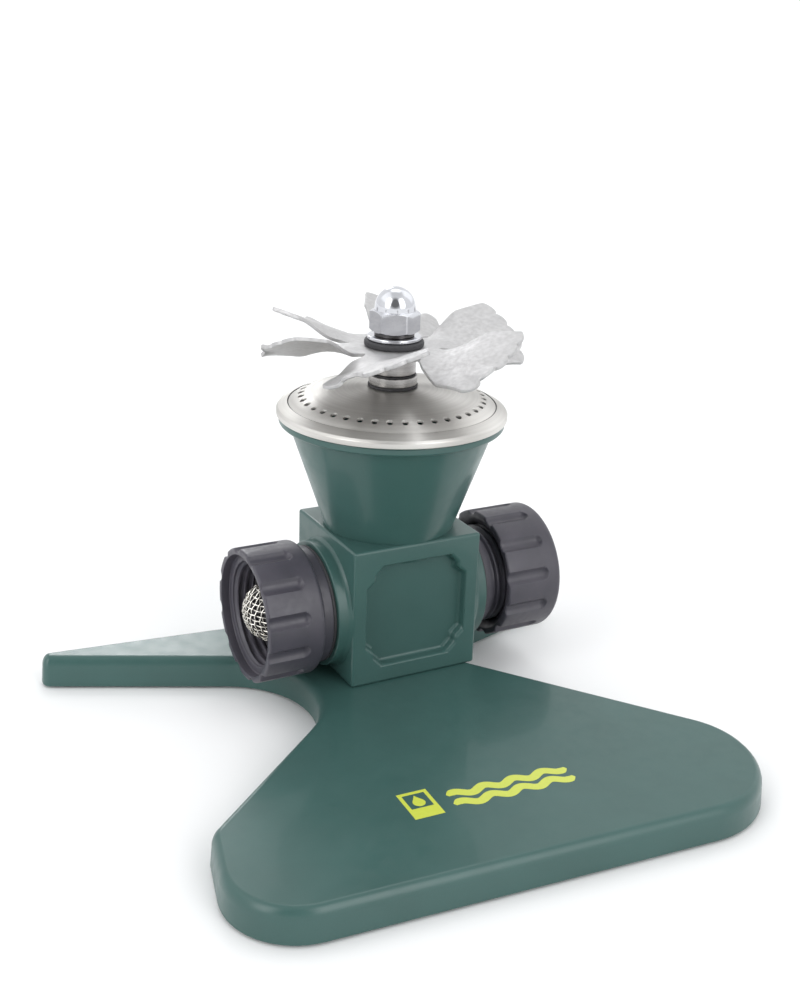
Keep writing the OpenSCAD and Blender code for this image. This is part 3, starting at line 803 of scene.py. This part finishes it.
def make_acorn_nut():
    """Hexagon with chamfered corners under a smooth dome, in one piece."""
    low, high, _, corner_r = extent("acorn_nut")
    flat, hex_h, dome_r, end_r, steps = 11.1 / 2, 5.5, 5.1, 5.3, 240
    top = low + hex_h

    def hex_ring(rise):
        z, limit = low + rise, end_r + 1.7 * min(rise, hex_h - rise)
        points = []
        for i in range(steps):
            t = 2 * math.pi * i / steps
            from_flat = (t + math.pi / 6) % (math.pi / 3) - math.pi / 6
            r = min(flat / math.cos(from_flat), corner_r - 0.08, limit)
            points.append((r * math.cos(t), r * math.sin(t), z))
        return points

    bore = stud_r + 0.05
    rings = [circle(r, z, steps) for r, z in ((0, low + 8), (bore, low + 8), (bore, low))]
    rings += [hex_ring(0.05 * k) for k in range(15)] + [hex_ring(hex_h - 0.7 + 0.05 * k) for k in range(15)]
    rings.append(circle(dome_r + 0.04, top, steps))
    dome_z = high - dome_r
    for k in range(40):
        t = math.pi * k / 80
        rings.append(circle(dome_r * math.cos(t), dome_z + (high - dome_z) * math.sin(t), steps))
    rings.append(circle(0, high, steps))
    thing = make_object("cap_nut", join_rings(rings, loop=False), HEAD)
    even_normals(thing, 20)
    return finish_piece(thing, "stand", "chrome", CHROME, "acorn_nut")


make_acorn_nut()


def make_lock_washer():
    """Split spring washer with square edges."""
    low, high, in_r, out_r = extent("lock_washer")
    gap = math.radians(5)
    lift = 0.06
    steps = 96
    section = rounded([(in_r, low + lift, 0.08), (out_r, low + lift, 0.12), (out_r, high - lift, 0.12),
                       (in_r, high - lift, 0.08)], 3)
    rings = []
    for i in range(steps + 1):
        t = math.radians(20) + gap / 2 + (2 * math.pi - gap) * i / steps
        rise = lift * (2 * i / steps - 1)
        rings.append([(r * math.cos(t), r * math.sin(t), z + rise) for r, z in section])
    thing = make_object("split_washer", join_caps(rings), HEAD)
    return finish_piece(thing, "stand", "dark_spring_steel", SPRING, "lock_washer")


make_lock_washer()


# ----------------------------------------------------------------- rotor
plate_z = extent("rotor_hub")[1] - 0.9
sheet_t = 0.9
blades = 6
rotor_rest = math.radians(-6)
slit_start, sector_end, blade_tip = 11.4, 21.3, 30.5
disc_r, hub_hole_r = 12.0, 4.9
slit_half = 0.35
tip_half = 13.15
blade_pitch = math.radians(21.7)
blade_rise = 1.9
blank_r = 33.15
teeth = 5


def blade_half(u):
    """Half the width of a blade at the distance u from the axis."""
    root = sector_end * math.tan(math.pi / 6) - slit_half
    if u < sector_end:
        return u * math.tan(math.pi / 6) - slit_half
    return mix(root, tip_half, (u - sector_end) / (blade_tip - sector_end))


def tooth_bend(v, u):
    """How far the sheet stands above the blade's plain twist, by place across and along it."""
    place = (v / tip_half + 1) / 2 * teeth
    tooth = min(teeth - 1, max(0, math.floor(place)))
    reach = max(0.0, u - 27.0)
    bend = (-0.05, 0.06, 0.0, 0.0, 0.0)[tooth]
    across = 1 - abs(2 * (place - tooth) - 1) ** 4
    return bend * reach ** 1.6 * across


def scallop(v):
    """How far the scalloped edge of the tip lies inside the blank's circle, by place across it."""
    place = (v / tip_half + 1) / 2 * teeth
    half = 2 * (place - math.floor(place)) - 1 if 0 < place < teeth else 1.0
    return 1.25 * (1 - math.sqrt(max(0.0, 1 - 0.97 * half * half)))


def blade_surface(u, v):
    twist = blade_pitch * ease((u - slit_start + 1) / (sector_end - slit_start + 1))
    rise = blade_rise * ease((u - disc_r) / (blade_tip - disc_r))
    lift = tooth_bend(v, u)
    cos, sin = math.cos(twist), math.sin(twist)
    return (u, v * cos - lift * sin, rise + v * sin + lift * cos)


def blade_rows():
    """One blade as rows of points across its sheet, from the slits' inner ends to the tip."""
    across, along = 60, 44
    half_angle = math.pi / 6 - math.asin(slit_half / slit_start)
    root_u, root_v = slit_start * math.cos(half_angle), slit_start * math.sin(half_angle)
    rows = []
    for i in range(along + 1):
        t = i / along
        row = []
        for j in range(across + 1):
            part = 2 * j / across - 1
            edge_u = mix(root_u, blade_tip, t)
            inner = math.sqrt(slit_start ** 2 - (part * root_v) ** 2) - root_u
            outer = math.sqrt(blank_r ** 2 - (part * tip_half) ** 2) - blade_tip
            u = edge_u + mix(inner, outer, t) - scallop(part * tip_half) * t ** 9
            row.append(blade_surface(u, part * mix(root_v, blade_half(edge_u), ease(t * 4))))
        rows.append(row)
    return rows


def make_rotor():
    """Stamped rotor in one sheet: a flat disc, slit into six twisted blades with toothed tips."""
    rows = blade_rows()
    verts, faces = [], []
    starts = []
    for k in range(blades):
        turn = Matrix.Rotation(2 * math.pi * k / blades, 4, "Z")
        for i, row in enumerate(rows):
            start = len(verts)
            verts += [tuple(turn @ Vector(p)) for p in row]
            if i == 0:
                starts.append(start)
            else:
                faces += [[start - len(row) + j, start - len(row) + j + 1, start + j + 1, start + j]
                          for j in range(len(row) - 1)]
    edge = [start + j for start in starts for j in range(len(rows[0]))]
    for radius in (9.5, 7.5, 6.0, hub_hole_r):
        ring = []
        for index in edge:
            x, y, z = verts[index]
            share = radius / math.hypot(x, y)
            ring.append(len(verts))
            verts.append((x * share, y * share, z * ease((radius - 7.5) / 3)))
        n = len(ring)
        faces += [[ring[j], ring[(j + 1) % n], edge[(j + 1) % n], edge[j]] for j in range(n)]
        edge = ring
    middle = Matrix.Translation((0, 0, (plate_z + sheet_t / 2) * MM))
    place = HEAD @ middle @ Matrix.Rotation(rotor_rest, 4, "Z")
    thing = make_object("rotor_blades", (verts, faces), place, 180)
    sheet = thing.modifiers.new("sheet", "SOLIDIFY")
    sheet.thickness = sheet_t * MM
    sheet.offset = 0
    sheet.use_even_offset = True
    edges = thing.modifiers.new("edges", "BEVEL")
    edges.width = 0.16 * MM
    edges.segments = 3
    edges.limit_method = "ANGLE"
    edges.angle_limit = math.radians(55)
    apply_modifiers(thing)
    even_normals(thing, 50)
    return finish_piece(thing, "spinner", "bright_stainless", SHEET, "rotor")


make_rotor()


# ---------------------------------------------------------- hose fittings
grip_r = extent("inlet_coupling", INLET)[3]
wall_r = 13.6
thread_pitch = 2.209
flutes = 12
flute_r, flute_up, flute_stop = 2.0, 1.0, 3.8
grip_steps = flutes * 26


def grip_angle(i):
    """Angle of a sample around a grip, closer together in and near a flute."""
    sector = 2 * math.pi / flutes
    whole, part = divmod(i / grip_steps * flutes, 1)
    part = part * 2 - 1
    return (whole + 0.5 + 0.5 * (0.45 * part + 0.55 * part ** 3)) * sector


def fluted(offset, z, end):
    """A ring around a fluted grip; the flutes end in a round at the height end."""
    points = []
    over = grip_r + flute_up
    down = max(0.0, flute_stop + flute_r - end)
    deep = math.sqrt(max(0.0, flute_r ** 2 - min(down, flute_r) ** 2))
    for i in range(grip_steps):
        t = grip_angle(i)
        sector = 2 * math.pi / flutes
        off = (t / sector) % 1 - 0.5
        side = over * math.sin(off * sector)
        radius = grip_r
        if abs(side) < deep:
            groove = over * math.cos(off * sector) - math.sqrt(deep ** 2 - side ** 2)
            radius = soft_min(grip_r, groove, 0.12) if groove < grip_r else grip_r
        points.append(((radius - offset) * math.cos(t), (radius - offset) * math.sin(t), z))
    return points


def grip_ring(radius, z):
    angles = [grip_angle(i) for i in range(grip_steps)]
    return [(radius * math.cos(t), radius * math.sin(t), z) for t in angles]


def thread_rings(low, high, root, crest, angles, phase=0.0):
    """Rings along a helical thread whose ridges reach from the root radius to the crest."""
    count = max(2, round((high - low) / thread_pitch * 14))
    rings = []
    for k in range(count + 1):
        z = mix(low, high, k / count)
        fade = ease((z - low) / 1.2) * ease((high - z) / 1.2)
        ring = []
        for t in angles:
            part = (z / thread_pitch - t / (2 * math.pi) + phase) % 1
            ridge = ease((0.36 - abs(part - 0.5)) / 0.24) * fade
            r = mix(root, crest, ridge)
            ring.append((r * math.cos(t), r * math.sin(t), z))
        rings.append(ring)
    return rings


def grip_side(low, high, rear, front, plain):
    """Rings up a grip, rounded by rear where its flutes stop short and by front where they run out."""
    all_flute, rear_steps, stop_steps, front_steps = 99.0, 8, 16, 6
    rings = []
    for k in range(rear_steps + 1):
        t = math.pi / 2 * k / rear_steps
        rings.append(fluted(rear * (1 - math.sin(t)), low + rear * (1 - math.cos(t)), 0.0))
    for k in range(1, stop_steps + 1):
        z = mix(flute_stop - 0.2, flute_stop + flute_r, k / stop_steps)
        rings.append(fluted(0.0, low + z, z))
    rings += [fluted(0.0, low + z, all_flute) for z in plain]
    for k in range(front_steps + 1):
        t = math.pi / 2 * k / front_steps
        rings.append(fluted(front * (1 - math.cos(t)), high - front * (1 - math.sin(t)), all_flute))
    return rings


def make_coupling():
    """Swivel coupling: fluted outside, threaded inside, with a stepped mouth."""
    low, high, hole_r, _ = extent("inlet_coupling", INLET)
    back, lead, lead_r = low + 2.8, high - 2.3, 15.6
    angles = [grip_angle(i) for i in range(grip_steps)]
    rings = [grip_ring(hole_r, back), grip_ring(hole_r, low + 0.2), grip_ring(hole_r + 0.2, low)]
    rings += grip_side(low, high, 1.3, 0.55, (7.5, 10.0, 12.5))
    rings += [grip_ring(lead_r + 0.25, high), grip_ring(lead_r + 0.06, high - 0.08),
              grip_ring(lead_r, high - 0.3), grip_ring(lead_r, lead + 0.15), grip_ring(lead_r - 0.15, lead),
              grip_ring(wall_r + 0.2, lead), grip_ring(wall_r + 0.04, lead - 0.1)]
    rings += thread_rings(back + 3.6, lead - 0.2, wall_r, wall_r - 0.75, angles)[::-1]
    rings += [grip_ring(wall_r, back + 0.2), grip_ring(wall_r - 0.2, back)]
    thing = make_object("swivel_coupling", join_rings(rings, loop=True), INLET, 38)
    return finish_piece(thing, "swivel", "black_plastic", PLASTIC, "inlet_coupling")


make_coupling()


def make_cap():
    """Screw cap: the same grip with its closed, rounded end outwards."""
    low, high, _, _ = extent("outlet_cap", OUTLET)
    length = high - low
    inside = high - 2.8
    turned = Matrix.Translation((0, 0, high)) @ Matrix.Rotation(math.pi, 4, "X")
    angles = [grip_angle(i) for i in range(grip_steps)]
    rings = [[(0, 0, 0.25)], grip_ring(4, 0.25), grip_ring(10.6, 0.25), grip_ring(11, 0.2),
             grip_ring(11.4, 0.03), grip_ring(11.7, 0)]
    rings += grip_side(0.0, length, 1.5, 0.5, (8.5, 11.0, 13.5))
    rings += [grip_ring(15.6, length), grip_ring(15.45, length - 0.1), grip_ring(wall_r + 0.1, length - 1.2)]
    rings += thread_rings(5.4, length - 1.4, wall_r, wall_r - 0.3, angles)[::-1]
    rings += [grip_ring(wall_r, high - inside + 0.2), grip_ring(wall_r - 0.2, high - inside),
              [(0, 0, high - inside)]]
    thing = make_object("end_cap", moved(join_rings(rings), turned), OUTLET, 38)
    return finish_piece(thing, "screw_cap", "black_plastic", PLASTIC, "outlet_cap")


make_cap()


def make_nipple():
    """Flanged nipple with a male thread under the cap."""
    low, high, bore, _ = extent("outlet_nipple", OUTLET)
    flange_z, collar, flange = 22.3, 25.0, 13.6
    male_r = 13.15
    angles = [2 * math.pi * i / ROUND for i in range(ROUND)]
    rings = [circle(bore, high - 0.3), circle(bore + 0.3, high), circle(male_r - 1.3, high),
             circle(male_r - 0.9, high - 0.4)]
    rings += thread_rings(collar + 0.6, high - 0.6, male_r - 0.85, male_r, angles)[::-1]
    rings += [circle(male_r - 0.85, collar + 0.05), circle(male_r - 0.6, collar),
              circle(flange - 0.3, collar), circle(flange - 0.08, collar - 0.08),
              circle(flange, collar - 0.3), circle(flange, flange_z + 0.3), circle(flange - 0.3, flange_z),
              circle(9.5, flange_z), circle(9.5, low), circle(bore, low)]
    thing = make_object("threaded_nipple", join_rings(rings, loop=True), OUTLET)
    return finish_piece(thing, "stand", "black_plastic", PLASTIC, "outlet_nipple")


make_nipple()

washer("inlet_gasket", "inlet_seal", "stand", "black_rubber", RUBBER, 0.2, INLET)
washer("outlet_gasket", "outlet_seal", "stand", "black_rubber", RUBBER, 0.2, OUTLET)
washer("inlet_spacer", "inlet_collar", "stand", "black_plastic", PLASTIC, 0.3, INLET)
washer("inlet_gasket_ring", "hose_washer", "swivel", "black_rubber", RUBBER, 0.35, INLET)
washer("screen_rim", "filter_rim", "swivel", "zinc_steel", WIRE, 0.25, INLET)


def make_screen():
    """Plain-woven wire dome."""
    low, _, _, rim_r = extent("filter_screen", INLET)
    wire_r = 0.17
    pitch = 1.28
    dome_r = rim_r - 0.25
    sides = 6
    shapes = []
    lines = int(dome_r / pitch)
    for direction in (0, 1):
        for k in range(-lines, lines + 1):
            offset = k * pitch
            half = math.sqrt(max(0.0, dome_r ** 2 - offset ** 2)) - 0.05
            steps = max(8, int(2 * half / pitch * 6))
            path = []
            for i in range(steps + 1):
                s = mix(-half, half, i / steps)
                base_z = math.sqrt(max(0.0, dome_r ** 2 - offset ** 2 - s ** 2))
                wave = math.cos(math.pi * (s / pitch + k + direction)) * wire_r * 0.95
                out = Vector((offset, s, base_z)) if direction else Vector((s, offset, base_z))
                path.append(out * (1 + wave / dome_r))
            shapes.append(moved(tube(path, wire_r, sides), Matrix.Translation((0, 0, low + 0.1))))
    thing = make_object("woven_screen", together(*shapes), INLET, 60)
    return finish_piece(thing, "swivel", "wire_mesh", WIRE, "filter_screen")


def tube(path, radius, sides):
    """A round wire along a path, closed at both ends."""
    rings = []
    side = Vector((0, 0, 1))
    for i, p in enumerate(path):
        ahead = path[min(i + 1, len(path) - 1)] - path[max(i - 1, 0)]
        ahead.normalize()
        across = ahead.cross(side)
        if across.length < 1e-4:
            across = ahead.orthogonal()
        across.normalize()
        up = across.cross(ahead).normalized()
        angles = [2 * math.pi * k / sides for k in range(sides)]
        ring = [p + radius * (math.cos(t) * across + math.sin(t) * up) for t in angles]
        rings.append([tuple(q) for q in ring])
    return join_caps(rings)


make_screen()

# ------------------------------------------------- materials of kept nodes
kept = {"base_bolt": ZINC, "base_washer": ZINC, "cap_gasket": RUBBER, "spindle_bolt": ZINC,
        "spindle_inner_washer": RUBBER, "bearing_sleeve": NYLON, "inlet_tailpiece": PLASTIC,
        "outlet_cap_washer": RUBBER}
for node, finish in kept.items():
    mesh = frame["nodes"][node].data
    mesh.materials.clear()
    mesh.materials.append(finish)

# ---------------------------------------------------------- studio, camera


def softbox(world, azimuth, elevation, half_wide, half_high, edge, strength):
    """Radiance of a soft-edged rectangular light far away, by direction; all angles in degrees."""
    az, el = math.radians(azimuth), math.radians(elevation)
    ahead = Vector((math.sin(az) * math.cos(el), math.cos(az) * math.cos(el), math.sin(el)))
    across = Vector((math.cos(az), -math.sin(az), 0))
    up = across.cross(ahead)

    def along(axis):
        node = world.tree.nodes.new("ShaderNodeVectorMath")
        node.operation = "DOT_PRODUCT"
        world.put(node.inputs[0], world.coords)
        node.inputs[1].default_value = axis
        return node.outputs["Value"]

    depth = world.math("MAXIMUM", along(ahead), 0.001)
    light = strength
    for axis, half in ((across, half_wide), (up, half_high)):
        place = world.math("ABSOLUTE", world.math("DIVIDE", along(axis), depth))
        limit = math.tan(math.radians(half))
        fade = world.spread(place, 1, 0, limit * (1 - edge), limit * (1 + edge))
        light = world.math("MULTIPLY", fade, light)
    return light


def make_world():
    """White studio with one dark patch and a few large soft lights."""
    world = bpy.data.worlds.new("studio")
    bpy.context.scene.world = world
    world.use_nodes = True
    n = Nodes.__new__(Nodes)
    n.tree = world.node_tree
    place = n.add("ShaderNodeTexCoord")
    n.coords = place.outputs["Generated"]
    split = n.add("ShaderNodeSeparateXYZ", Vector=n.coords)
    facing = n.tree.nodes.new("ShaderNodeVectorMath")
    facing.operation = "DOT_PRODUCT"
    n.put(facing.inputs[0], n.coords)
    facing.inputs[1].default_value = DARK_SIDE
    around = n.spread(facing.outputs["Value"], 1.04, 0.2, 0.8, 0.94)
    total = n.math("MULTIPLY", around, n.spread(split.outputs[2], 1.0, 0.8, 0.7, 0.95))
    for light in STUDIO_LIGHTS:
        total = n.math("ADD", total, softbox(n, *light))
    background = n.tree.nodes["Background"]
    n.put(background.inputs["Strength"], total)
    background.inputs["Color"].default_value = (0.98, 0.99, 1.0, 1)


# Direction of the studio's dark patch, in front of the object and above it
DARK_SIDE = (-0.322, -0.792, 0.519)
# Azimuth (0 is straight behind the object, 90 to its right), elevation, half width, half height,
# softness of the edge, radiance
STUDIO_LIGHTS = ((-70, 48, 24, 22, 0.25, 0.4), (75, 35, 20, 24, 0.25, 0.4), (9, 24, 5, 5, 0.4, 9.0),
                 (158, 28, 13, 22, 0.5, 3.2), (246, 28, 13, 22, 0.5, 3.2), (22, 64, 14, 12, 0.5, 1.4))


def make_floor():
    half = 30.0 / MM
    corners = [(-half, -half, 0), (half, -half, 0), (half, half, 0), (-half, half, 0)]
    floor = make_object("floor", (corners, [[0, 1, 2, 3]]))
    floor.data.materials.append(FLOOR)


def make_camera():
    """The camera at the viewing angle of the reference, with its slight roll."""
    azimuth, elevation, roll = math.radians(-28.64) + head_turn, math.radians(20.58), math.radians(2.06)
    target = head_place + Vector((3.26, 0.4, -39.0)) * MM
    distance = 0.3499
    back = Vector((math.sin(azimuth) * math.cos(elevation), -math.cos(azimuth) * math.cos(elevation),
                   math.sin(elevation)))
    right = Vector((math.cos(azimuth), math.sin(azimuth), 0))
    up = back.cross(right)
    side = right * math.cos(roll) + up * math.sin(roll)
    top = up * math.cos(roll) - right * math.sin(roll)
    data = bpy.data.cameras.new("camera")
    data.sensor_width = 36.0
    data.lens = 48.35
    data.clip_start, data.clip_end = 0.01, 100.0
    camera = bpy.data.objects.new("camera", data)
    bpy.context.scene.collection.objects.link(camera)
    axes = Matrix((side, top, back)).transposed().to_4x4()
    camera.matrix_world = Matrix.Translation(target + back * distance) @ axes
    bpy.context.scene.camera = camera


make_world()
make_floor()
make_camera()
bpy.context.scene.view_settings.view_transform = "Standard"
